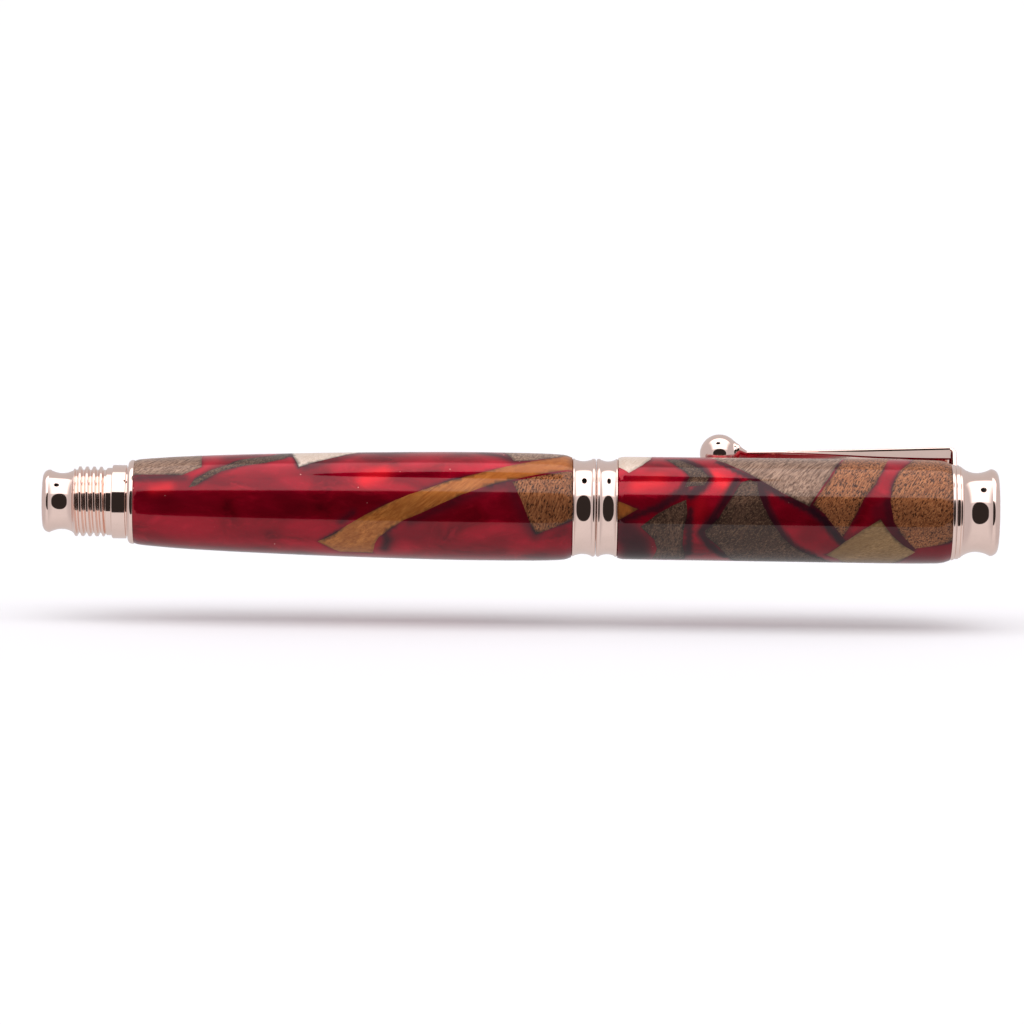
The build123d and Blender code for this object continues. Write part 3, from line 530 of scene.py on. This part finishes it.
def tessellated(outline, seam, chips):
    """Triangles on an unrolled barrel that follow every chip's edge: (points, triangles, chip of each)."""
    low, high = outline[0][0], outline[-1][0]
    columns = np.linspace(low, high, round((high - low) / POINT_GAP) + 1)
    around = np.linspace(seam, seam + 360, round(360 * ARC_MM / POINT_GAP) + 1)
    shapes = [clipped(split_outline(points), low, high) for _, _, points in chips]
    frame_loop = ([(x, around[0]) for x in columns[:-1]] + [(high, a) for a in around[:-1]]
                  + [(x, around[-1]) for x in columns[:0:-1]] + [(low, a) for a in around[:0:-1]])
    inner = np.array([(x + (POINT_GAP / 2 if i % 2 else 0), a)
                      for i, a in enumerate(around[1:-1]) for x in columns[1:-2]])
    clear = np.full(len(inner), True)
    for shape in shapes:
        clear &= distance(inner, shape, closed=True) > POINT_GAP * CHIP_CLEARANCE
    inner = inner[clear]
    coords, loops = [], []
    for loop in [frame_loop] + shapes:
        area = sum(x0 * a1 - x1 * a0 for (x0, a0), (x1, a1) in zip(loop, loop[1:] + loop[:1]))
        loop = loop if area > 0 else loop[::-1]
        loops.append(list(range(len(coords), len(coords) + len(loop))))
        coords += loop
    coords += [tuple(p) for p in inner]
    flat = [Vector((x, a * ARC_MM)) for x, a in coords]
    points, _, faces, _, _, parents = delaunay_2d_cdt(flat, [], loops, 1, 1e-6, True)
    points = np.array([(p.x, p.y / ARC_MM) for p in points])
    # the seam's two sides are one line
    first = {round(x, 4): i for i, (x, a) in enumerate(points) if abs(a - seam) < 1e-4}
    same = [first.get(round(x, 4), i) if abs(a - seam - 360) < 1e-4 else i for i, (x, a) in enumerate(points)]
    owner = [min([p - 1 for p in parent if p > 0], default=-1) for parent in parents]
    return points, [tuple(same[v] for v in f) for f in faces], owner


class Layers:
    """Faces joined from points that lie on several layers of a barrel."""

    def __init__(self, points, radii):
        self.points, self.radii = points, radii
        self.keys, self.faces, self.on_top = {}, [], []

    def add(self, corners, top=False):
        """A face through (layer, point) corners; top says that it is part of the polished outside."""
        self.faces.append([self.keys.setdefault(c, len(self.keys)) for c in corners])
        self.on_top.append(top)

    def verts(self):
        places = [(layer, *self.points[v]) for layer, v in self.keys]
        return [around_pen(x, a, self.radii[layer](x)) for layer, x, a in places]

    def sources(self):
        return np.array([v for _, v in self.keys])


def edge_owners(faces, owner):
    """Which chip lies on the left of each directed edge."""
    sides = {}
    for face, who in zip(faces, owner):
        for a, b in zip(face, face[1:] + face[:1]):
            sides[a, b] = who
    return sides


def barrel_piece(name, layers, values, material, body, replaced):
    """Makes the mesh, gives it its values and true normals on its polished outside."""
    piece = new_piece(name, layers.verts(), layers.faces, material, sharp=0)
    mesh = piece.data
    assert len(mesh.polygons) == len(layers.faces), name
    source = layers.sources()
    for key, array in values.items():
        kind, field = ("FLOAT", "value") if array.ndim == 1 else ("FLOAT_VECTOR", "vector")
        flat = array[source].astype(np.float32).ravel()
        mesh.attributes.new(key, kind, "POINT").data.foreach_set(field, flat)
    mesh.polygons.foreach_set("use_smooth", np.array(layers.on_top))
    radius, step = layers.radii["top"], 0.02
    normals = []
    for polygon, top in zip(mesh.polygons, layers.on_top):
        for v in polygon.vertices:
            x, a = layers.points[source[v]]
            slope = (radius(x + step) - radius(x - step)) / (2 * step)
            n = Vector((-slope, -math.cos(math.radians(a)), math.sin(math.radians(a))))
            normals.append(n.normalized() if top else polygon.normal)
    mesh.normals_split_custom_set(normals)
    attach(piece, body)
    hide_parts(replaced)


def faded(points, lines, edge):
    """How strongly each point is marked by lines of (how much, half width, line), strongest on the line."""
    return np.max([k * np.exp(-(distance(points, line) / width) ** edge) for k, width, line in lines], axis=0)


def resin_layers(points, radii, faces, owner, sides):
    """The cast resin: polished outside, bore, and a pocket's floor and walls under every chip."""
    resin = Layers(points, radii)
    for face, who in zip(faces, owner):
        layer = "floor" if who >= 0 else "top"
        resin.add([(layer, v) for v in face], top=who < 0)
        resin.add([("bore", v) for v in face[::-1]])
    for (a, b), who in sides.items():
        other = sides.get((b, a))
        if other is None and who < 0:
            resin.add([("top", a), ("floor", a), ("bore", a), ("bore", b), ("floor", b), ("top", b)])
        elif other is None:
            resin.add([("floor", a), ("bore", a), ("bore", b), ("floor", b)])
        elif who < 0 <= other:
            resin.add([("top", a), ("floor", a), ("floor", b), ("top", b)])
    return resin


def add_chip(layers, i, faces, owner, sides):
    """Adds a chip's outside, underside and edges to its wood's layers; returns the chip's points."""
    own = [f for f, who in zip(faces, owner) if who == i]
    inside = sorted({v for f in own for v in f})
    for f in own:
        layers.add([("top", v) for v in f], top=True)
        layers.add([("floor", v) for v in f[::-1]])
    for (a, b), who in sides.items():
        if who == i and sides.get((b, a)) != i:
            layers.add([("top", a), ("floor", a), ("floor", b), ("top", b)])
    return inside


def chip_grain(points, radius, i, chip):
    """Positions in a chip's own block of wood, in metres, for points on its outside."""
    _, direction, outline = chip
    angles = [a for _, a in outline]
    middle = math.radians((min(angles) + max(angles)) / 2)
    turn = Matrix.Rotation(-math.radians(direction), 3, "Z")
    across = Vector((0, math.sin(middle), math.cos(middle)))
    out = Vector((0, -math.cos(middle), math.sin(middle)))
    grain = []
    for x, a in points:
        p = Vector(around_pen(x, a, radius(x)))
        local = turn @ Vector((p.x, p.dot(across), p.dot(out)))
        grain.append((local + Vector((0, GRAIN_STEP * i, 0))) * MM)
    return grain


def cast_barrel(name, outline, floor, bore, seam, chips, shades, painted_lights):
    """A barrel of resin with chips of wood set in it, one piece for the resin and one for each wood."""
    points, faces, owner = tessellated(outline, seam, chips)
    radii = {"top": smooth_radius(outline), "floor": lambda x: floor, "bore": lambda x: bore}
    sides = edge_owners(faces, owner)
    uneven = np.array([0.55 + 0.9 * noise.noise((x * RIM_PATCHES, a * ARC_MM * RIM_PATCHES, 2.0))
                       for x, a in points])
    shade = faded(points, shades, SHADE_EDGE[name])
    for _, _, outline_points in chips:
        near = np.exp(-(distance(points, outline_points, True) / RIM_IN_RESIN) ** 2)
        shade = np.maximum(shade, np.clip(uneven, 0.1, 1.0) * near)
    # painted_light holds how strongly each point gets the painted light's brighter red
    values = {"shade": np.clip(shade, 0, 1), "painted_light": np.clip(faded(points, painted_lights, PAINTED_LIGHT_EDGE), 0, 1)}
    barrel_piece(f"{name}_resin_cast", resin_layers(points, radii, faces, owner, sides), values,
                 materials["red_resin"], name, f"{name}_resin")

    for kind in sorted({kind for kind, _, _ in chips}):
        layers = Layers(points, radii)
        grain, tone, rim = np.zeros((len(points), 3)), np.zeros(len(points)), np.zeros(len(points))
        for i, chip in enumerate(chips):
            if chip[0] != kind:
                continue
            inside = add_chip(layers, i, faces, owner, sides)
            grain[inside] = chip_grain(points[inside], radii["top"], i, chip)
            tone[inside] = 0.5 + 0.5 * noise.noise((i * 3.7, 1.3, 0.4))
            near = np.exp(-(distance(points[inside], split_outline(chip[2]), True) / RIM_IN_WOOD) ** 2)
            rim[inside] = np.maximum(rim[inside], np.clip(uneven[inside], 0.15, 0.9) * near)
        words = f"{name}_{PIECE_WORDS.get(kind, kind)}"
        barrel_piece(f"{words}_inlay", layers, {"grain": grain, "tone": tone, "rim": rim}, materials[kind],
                     name, f"{words}_chips")


cast_barrel("barrel", BARREL_OUTLINE, BARREL_FLOOR, BARREL_BORE, BARREL_SEAM, BARREL_CHIPS, BARREL_SHADES,
            BARREL_PAINTED_LIGHT)
cast_barrel("cap", CAP_OUTLINE, CAP_FLOOR, CAP_BORE, CAP_SEAM, CAP_CHIPS, CAP_SHADES, CAP_PAINTED_LIGHT)


# ---- turned fittings -----------------------------------------------------------------------------
def waist(start, lowest, end, steps=20):
    """A hollow profile that falls from start to its lowest point and rises to end, evenly curved."""
    line = []
    for x0, r0 in (start, end):
        span, rise = x0 - lowest[0], r0 - lowest[1]
        line.append([(lowest[0] + span * t, lowest[1] + rise * t * t) for t in np.linspace(0, 1, steps)])
    return line[0][::-1] + line[1][1:]


def eased(outline, reach=0.05, least=35):
    """An outline whose sharp corners are broken by a small round, as on polished metal."""
    out = []
    for before, corner, after in zip(outline[-1:] + outline[:-1], outline, outline[1:] + outline[:1]):
        a, b, c = Vector(before), Vector(corner), Vector(after)
        into, away = b - a, c - b
        sharp = into.length > 1e-6 and away.length > 1e-6 and into.angle(away) > math.radians(least)
        if not sharp or corner[1] < 0.5:
            out.append(corner)
            continue
        size = min(reach, 0.4 * into.length, 0.4 * away.length)
        start, end = b - into.normalized() * size, b + away.normalized() * size
        for t in (0, 0.25, 0.5, 0.75, 1):
            out.append(tuple(start * (1 - t) ** 2 + b * 2 * t * (1 - t) + end * t * t))
    return out


def threaded(start, end, root, crest, pitch=1.0, run_out=0.35):
    """A radius function that winds a right-handed ridge on the stretch turned to the root radius."""
    def radius(x, r, angle):
        if not start <= x <= end or abs(r - root) > 1e-6:
            return r
        off_ridge = abs((x / pitch + angle / math.tau) % 1 - 0.5) * 2
        rise = min(1, max(0, (0.86 - off_ridge) / 0.62))
        fade = min(1, (x - start) / run_out) * min(1, (end - x) / run_out)
        return root + (crest - root) * rise * rise * (3 - 2 * rise) * fade
    return radius


def plain_rows(start, end, radius, gap=0.05):
    """Rows close enough together for a thread to be wound on them."""
    return [(x, radius) for x in np.linspace(start, end, round((end - start) / gap) + 1)]


def band(name, start, end, inside, mirrored, body, replaced):
    """A trim band with a hollow waist between two rims, the wider rim at the parting line."""
    near, far = (0.6, 0.42) if mirrored else (0.42, 0.6)
    low, high = start + near, end - far
    face, rim, foot, hollow = 6.78, 6.98, 6.86, 6.62
    outline = (inside[:1] + [(start, face)]
               + arc((start, face), (start + near / 2, rim), (low, foot), 14)
               + arc((low, foot), ((low + high) / 2, hollow), (high, foot), 24)
               + arc((high, foot), (end - far / 2, rim), (end, face), 14) + inside[1:])
    gold_piece(name, outline, body, replaced)


def gold_piece(name, outline, body, replaced, radius=None, reach=0.05):
    """A turned and plated piece with eased corners."""
    turned(name, eased(outline, reach), materials["rose_gold"], body, [replaced], radius)


gold_piece("rear_finial_polished",
           [(0, 0), (0, 3.5)] + arc((0, 3.5), (0.284, 4.186), (0.95, 4.47), 14)
           + waist((0.95, 4.47), (2.75, 3.98), (4.3, 4.42))
           + [(4.3, 3.35), (7.3, 3.35), (7.3, 0)], "barrel", "rear_finial")
gold_piece("posting_coupler_threaded",
           [(4.3, 3.35)] + plain_rows(4.31, 9.09, 4.5) + [(9.1, 4.8), (9.9, 4.8), (9.9, 5.08)]
           + arc((9.9, 5.08), (9.95, 5.19), (10.07, 5.23), 6)
           + [(11.9, 5.23), (11.9, 4.9), (12.15, 4.9), (12.15, 4.8), (18.5, 4.8), (18.5, 3.35)],
           "barrel", "posting_coupler", threaded(4.31, 9.09, 4.5, 4.98), 0.07)
gold_piece("rear_trim_ring_polished",
           [(12.15, 4.8), (12.15, 5.38)] + arc((12.15, 5.38), (12.326, 5.804), (12.75, 5.98), 12)
           + [(13.0, 5.96), (13.0, 4.8)], "barrel", "rear_trim_ring")
band("barrel_band_polished", 75.3, 78.68, [(75.3, 4.8), (78.68, 5.6), (78.6, 5.4), (78.6, 4.8)], False, "barrel",
     "barrel_band")
band("cap_band_polished", 78.77, 81.85, [(78.85, 5.95), (81.85, 5.55), (79.25, 5.55), (79.25, 5.95)], True, "cap",
     "cap_band")
gold_piece("section_coupler_threaded",
           [(70.5, 3.2), (70.5, 4.0), (73.6, 4.0)] + plain_rows(73.61, 78.6, 4.08, 0.06)
           + [(78.65, 4.2), (78.65, 5.0), (79.3, 5.0)] + plain_rows(79.31, 84.4, 4.5)
           + [(84.6, 4.5), (84.6, 4.0), (88.0, 4.0), (88.0, 3.2)], "section", "section_coupler",
           lambda x, r, angle: threaded(73.61, 78.6, 4.08, 4.2, 0.75)(x, r, angle) if x < 79
           else threaded(79.31, 84.4, 4.5, 4.98)(x, r, angle))
gold_piece("cap_head_flange",
           [(122.6, 5.75), (129.2, 5.75), (129.2, 6.78)] + arc((129.2, 6.78), (129.5, 6.86), (129.8, 6.72), 12)
           + [(129.8, 3.0), (122.6, 3.0)], "cap", "finial_coupler")
gold_piece("clip_ring_washer", [(129.8, 3.1), (129.8, 6.7), (130.4, 6.7), (130.4, 3.1)], "cap", "clip_ring",
           reach=0.14)
gold_piece("cap_finial_polished",
           [(122.8, 0), (122.8, 3.0), (130.4, 3.0), (130.4, 6.5)] + arc((130.4, 6.5), (130.62, 6.52), (130.8, 6.36))
           + waist((130.8, 6.36), (132.85, 5.62), (134.9, 6.19))
           + arc((134.9, 6.19), (135.55, 6.0), (136, 5.2), 16) + [(136, 0)], "cap", "cap_finial")

# ---- clip ----------------------------------------------------------------------------------------
CLIP_ANGLE = math.radians(135)
CLIP_OUT = Vector((0, -math.cos(CLIP_ANGLE), math.sin(CLIP_ANGLE)))
CLIP_ACROSS = Vector((1, 0, 0)).cross(CLIP_OUT)
BALL_X, BALL_RADIUS, BALL_OUT = 96.45, 2.8, 10.36


def clip_point(x, out, across):
    return Vector((x, 0, 0)) + CLIP_OUT * out + CLIP_ACROSS * across


def lofted(name, loops):
    """A closed plated piece through loops of the same number of points, with flat ends."""
    size = len(loops[0])
    verts = [v for loop in loops for v in loop]
    faces = [tuple(range(size)), tuple(range(len(verts) - size, len(verts)))]
    for row in range(len(loops) - 1):
        for k in range(size):
            n = (k + 1) % size
            faces.append((row * size + k, row * size + n, (row + 1) * size + n, (row + 1) * size + k))
    piece = new_piece(name, verts, faces, materials["rose_gold"], sharp=0)
    shape = bmesh.new()
    shape.from_mesh(piece.data)
    bmesh.ops.triangulate(shape, faces=[f for f in shape.faces if len(f.verts) > 4])
    bmesh.ops.recalc_face_normals(shape, faces=shape.faces)
    shape.to_mesh(piece.data)
    shape.free()
    piece.data.shade_smooth()
    piece.data.set_sharp_from_angle(angle=math.radians(SHARP))
    return piece


def clip_section(half_width, depth, sheet, belly):
    """The folded sheet seen end on: (offset to the side, distance below its top) round the loop.

    The walls start under the lip of the top and splay out a little towards their hems. Towards the ball there are
    no walls, and the underside is rounded."""
    corner, crown = 0.4 * min(sheet, 0.4), 0.07
    round_off = [(half_width - corner * (1 - math.sin(a)), crown + corner * (1 - math.cos(a)))
                 for a in np.radians([90, 68, 45, 22, 0])]
    top = [(half_width * f, crown * f * f) for f in (0.7, 0.4, 0.0)]
    fold = max(0.0, depth - sheet - 0.04)
    lip, tuck, splay = min(0.36, sheet - 0.04), 0.14 * min(1, fold), 0.30 * fold
    hem = half_width - tuck + splay
    outer = [(hem, depth), (half_width - tuck, lip + 0.03), (half_width, lip)] + round_off + top
    inner = [(0.0, sheet + belly), ((half_width - sheet) * 0.6, sheet + belly * 0.55),
             (half_width - sheet - tuck, sheet + 0.03 + belly * 0.16),
             (hem - 0.38, depth), (hem - 0.10, depth + 0.02)]
    left_outer = [(-w, d) for w, d in outer[-2::-1]]
    left_inner = [(-w, d) for w, d in inner[:0:-1]]
    return outer + left_outer + left_inner + inner


def clip_arm():
    """The sheet from the ball to the head, its walls folded down, and its root bent down to the ring."""
    tip, bend_start, bend_radius = 98.2, 129.4, 1.0
    tip_width, full_width, full_sheet, tip_thinned, tip_belly = 1.0, 2.28, 0.55, 0.33, 0.42
    root_high, root_low, root_width = 9.2, 6.4, 2.12
    along = lambda x: (x - tip) / (bend_start - tip)
    top = lambda x: 10.05 + 0.37 * along(x)
    width = lambda x: tip_width + (full_width - tip_width) * along(x)
    sheet = lambda x: full_sheet - tip_thinned * (1 - min(1, along(x) / 0.75)) ** 1.5
    belly = lambda x: tip_belly * max(0, 1 - along(x) / 0.55)
    hem = smooth_radius([(98.2, 9.85), (104.0, 9.78), (109.0, 9.46), (114.0, 9.0), (120.0, 8.37), (126.0, 7.92),
                         (129.4, 7.77)])
    stations = [((x, top(x)), (0, -1), width(x), max(top(x) - float(hem(x)), sheet(x) + 0.04), sheet(x), belly(x))
                for x in np.linspace(tip, bend_start, 66)]
    flat = full_sheet + 0.04
    for degrees in (2, 15, 30, 45, 60, 75, 90):
        a = math.radians(degrees)
        at = (bend_start + bend_radius * math.sin(a), top(bend_start) - bend_radius * (1 - math.cos(a)))
        stations.append((at, (-math.sin(a), -math.cos(a)), full_width - 0.1 * a, flat, full_sheet, 0))
    for out in np.linspace(root_high, root_low, 8):
        half_width = root_width - 0.08 * (root_high - out)
        stations.append(((bend_start + bend_radius, out), (-1, 0), half_width, flat, full_sheet, 0))
    loops = [[clip_point(x + dx * depth, out + dr * depth, across)
              for across, depth in clip_section(*section)]
             for (x, out), (dx, dr), *section in stations]
    arm = lofted("clip_arm_folded", loops)
    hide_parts("clip_arm")
    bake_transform(arm)


def clip_ball():
    """The ball at the clip's tip, drawn out into a flat neck where the sheet enters it."""
    neck_start, flat_start, flat_length = 2.42, 1.9, 1.4  # from the ball's middle towards the sheet
    profile = [(-BALL_RADIUS * math.cos(a), BALL_RADIUS * math.sin(a))
               for a in np.linspace(0.03, math.pi, 90) if -math.cos(a) * BALL_RADIUS < neck_start]
    profile += curve([profile[-1], (2.75, 1.12), (3.1, 0.80), (3.5, 0.62), (3.9, 0.50)], 5)
    loops = []
    for x, r in profile:
        t = min(1, max(0, (x - flat_start) / flat_length))
        t = t * t * (3 - 2 * t)
        loops.append([clip_point(BALL_X + x, BALL_OUT - 0.42 * t + r * math.cos(a), r * (1 + 1.3 * t) * math.sin(a))
                      for a in np.linspace(0, math.tau, 96, endpoint=False)])
    ball = lofted("clip_ball_polished", loops)
    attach(ball, "clip")
    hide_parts("clip_ball")


clip_arm()
clip_ball()

# ---- CAD pieces that stay ------------------------------------------------------------------------
slots = {s["node"]: s["material_slot"] for s in frame["record"]["subparts"]}
for name, node in frame["nodes"].items():
    if not node.hide_render:
        node.data.materials.clear()
        node.data.materials.append(materials[slots[name]])
        node.data.shade_smooth()
        node.data.set_sharp_from_angle(angle=math.radians(SHARP))

# ---- stage, light and camera ---------------------------------------------------------------------
FLOOR_Z, FLOOR_HALF = -0.0167, 20  # the pen is shown held a little above the floor
floor_mesh = bpy.data.meshes.new("floor")
floor_mesh.from_pydata([(x * FLOOR_HALF, y * FLOOR_HALF, FLOOR_Z) for x, y in ((-1, -1), (1, -1), (1, 1), (-1, 1))],
                       [], [(0, 1, 2, 3)])
floor = bpy.data.objects.new("floor", floor_mesh)
bpy.context.scene.collection.objects.link(floor)
s = Shader("floor")
mottle = s.noise(s.place(), 0.8, detail=5)
s.set(Base_Color=s.mix(mottle, (0.91, 0.905, 0.925), (0.92, 0.915, 0.935)), Roughness=0.95)
floor_mesh.materials.append(s.material)
floor.visible_glossy = floor.visible_diffuse = False  # the tent's own paper lights the pen from below

# A light tent seen round the pen: two softboxes overhead, paper behind and below, and a dark opening in front.
# Directions are angles in degrees round the pen's axis, 0 level in front and 90 straight up.
TENT = [(-180, 0.64), (-110, 0.70), (-60, 0.80), (34, 0.82), (38, 1.9), (108, 1.9), (113, 0.64), (180, 0.64)]
TENT_ENDS = 0.50, 0.78  # how far to the side the paper starts to darken, and where it is darkest
TENT_END_COLOUR = 0.62, 0.60, 0.62
OPENING_MIDDLE, OPENING_HALF, OPENING_SIDE = math.radians(3), math.radians(32.5), 0.64
OPENING_COLOUR = 0.03, 0.03 * 0.85, 0.03 * 0.8
OPENING_EDGE = 1.08, 0.92  # where its soft edge starts and ends, from the middle

world = bpy.data.worlds.new("light_tent")
bpy.context.scene.world = world
world.use_nodes = True
w = Nodes(world.node_tree)


def eased_step(value, none_at, full_at):
    """0 at one value and 1 at the other, with a soft change between them."""
    return w.node("MapRange", interpolation_type="SMOOTHSTEP", Value=value, From_Min=none_at,
                  From_Max=full_at).outputs["Result"]


direction = w.node("SeparateXYZ", Vector=w.node("TexCoord").outputs["Generated"]).outputs
turn_round = w.math("ARCTAN2", direction["Z"], w.math("MULTIPLY", direction["Y"], -1.0))
side = w.math("ABSOLUTE", direction["X"])
paper = w.ramp(w.math("ADD", w.math("DIVIDE", turn_round, math.tau), 0.5),
               *((degrees / 360 + 0.5, (light, light * 0.985, light)) for degrees, light in TENT))
tent = w.mix(eased_step(side, *TENT_ENDS), paper, TENT_END_COLOUR)
rise = w.math("DIVIDE", w.math("SUBTRACT", turn_round, OPENING_MIDDLE), OPENING_HALF)
reach = w.math("DIVIDE", side, OPENING_SIDE)
oval = w.math("ADD", w.math("POWER", w.math("ABSOLUTE", rise), 3.0), w.math("POWER", reach, 2.4))
tent = w.mix(eased_step(oval, *OPENING_EDGE), tent, OPENING_COLOUR)
# The camera itself sees plain white behind the floor.
seen = w.mix(w.node("LightPath").outputs["Is Camera Ray"], tent, (1, 1, 1))
w.put(w.tree.nodes["Background"].inputs["Color"], seen)

# A round dark hole in the tent's roof, close enough to show as a dot in the fittings and a line on the barrels.
HOLE_RADIUS, HOLE_LENGTHENED, HOLE_SIDES = 0.036, 1.3, 48
HOLE_DISTANCE, HOLE_ANGLE, HOLE_X = 0.24, math.radians(74), 0.067
hole_angles = [math.tau * k / HOLE_SIDES for k in range(HOLE_SIDES)]
hole_mesh = bpy.data.meshes.new("tent_hole")
hole_mesh.from_pydata([(HOLE_RADIUS * math.cos(a), HOLE_RADIUS * math.sin(a), 0) for a in hole_angles], [],
                      [tuple(range(HOLE_SIDES))])
hole = bpy.data.objects.new("tent_hole", hole_mesh)
hole.location = (HOLE_X, -HOLE_DISTANCE * math.cos(HOLE_ANGLE), HOLE_DISTANCE * math.sin(HOLE_ANGLE))
hole.rotation_euler = (math.pi / 2 - HOLE_ANGLE, 0, 0)
hole.scale = (HOLE_LENGTHENED, 1, 1)
bpy.context.scene.collection.objects.link(hole)
s = Shader("tent_hole")
s.set(Base_Color=(0.01, 0.01, 0.01), Roughness=1.0, Specular_IOR_Level=0.0)
hole_mesh.materials.append(s.material)
hole.visible_camera = hole.visible_shadow = hole.visible_diffuse = False

CAMERA_DISTANCE, CAMERA_TILT, CAMERA_ROLL = 0.927, math.radians(5.0), math.radians(0.72)
look_at = Vector((0.0668, 0, -0.00077))
camera_data = bpy.data.cameras.new("camera")
camera_data.lens = 228.7
camera_data.clip_start, camera_data.clip_end = 0.01, 100
camera = bpy.data.objects.new("camera", camera_data)
bpy.context.scene.collection.objects.link(camera)
view = Vector((0, math.cos(CAMERA_TILT), -math.sin(CAMERA_TILT)))
level_right, level_up = Vector((1, 0, 0)), Vector((0, math.sin(CAMERA_TILT), math.cos(CAMERA_TILT)))
right = level_right * math.cos(CAMERA_ROLL) + level_up * math.sin(CAMERA_ROLL)
up = level_up * math.cos(CAMERA_ROLL) - level_right * math.sin(CAMERA_ROLL)
pose = Matrix((right, up, -view)).transposed().to_4x4()
pose.translation = look_at - view * CAMERA_DISTANCE
camera.matrix_world = pose
bpy.context.scene.camera = camera
bpy.context.scene.view_settings.view_transform = "Standard"
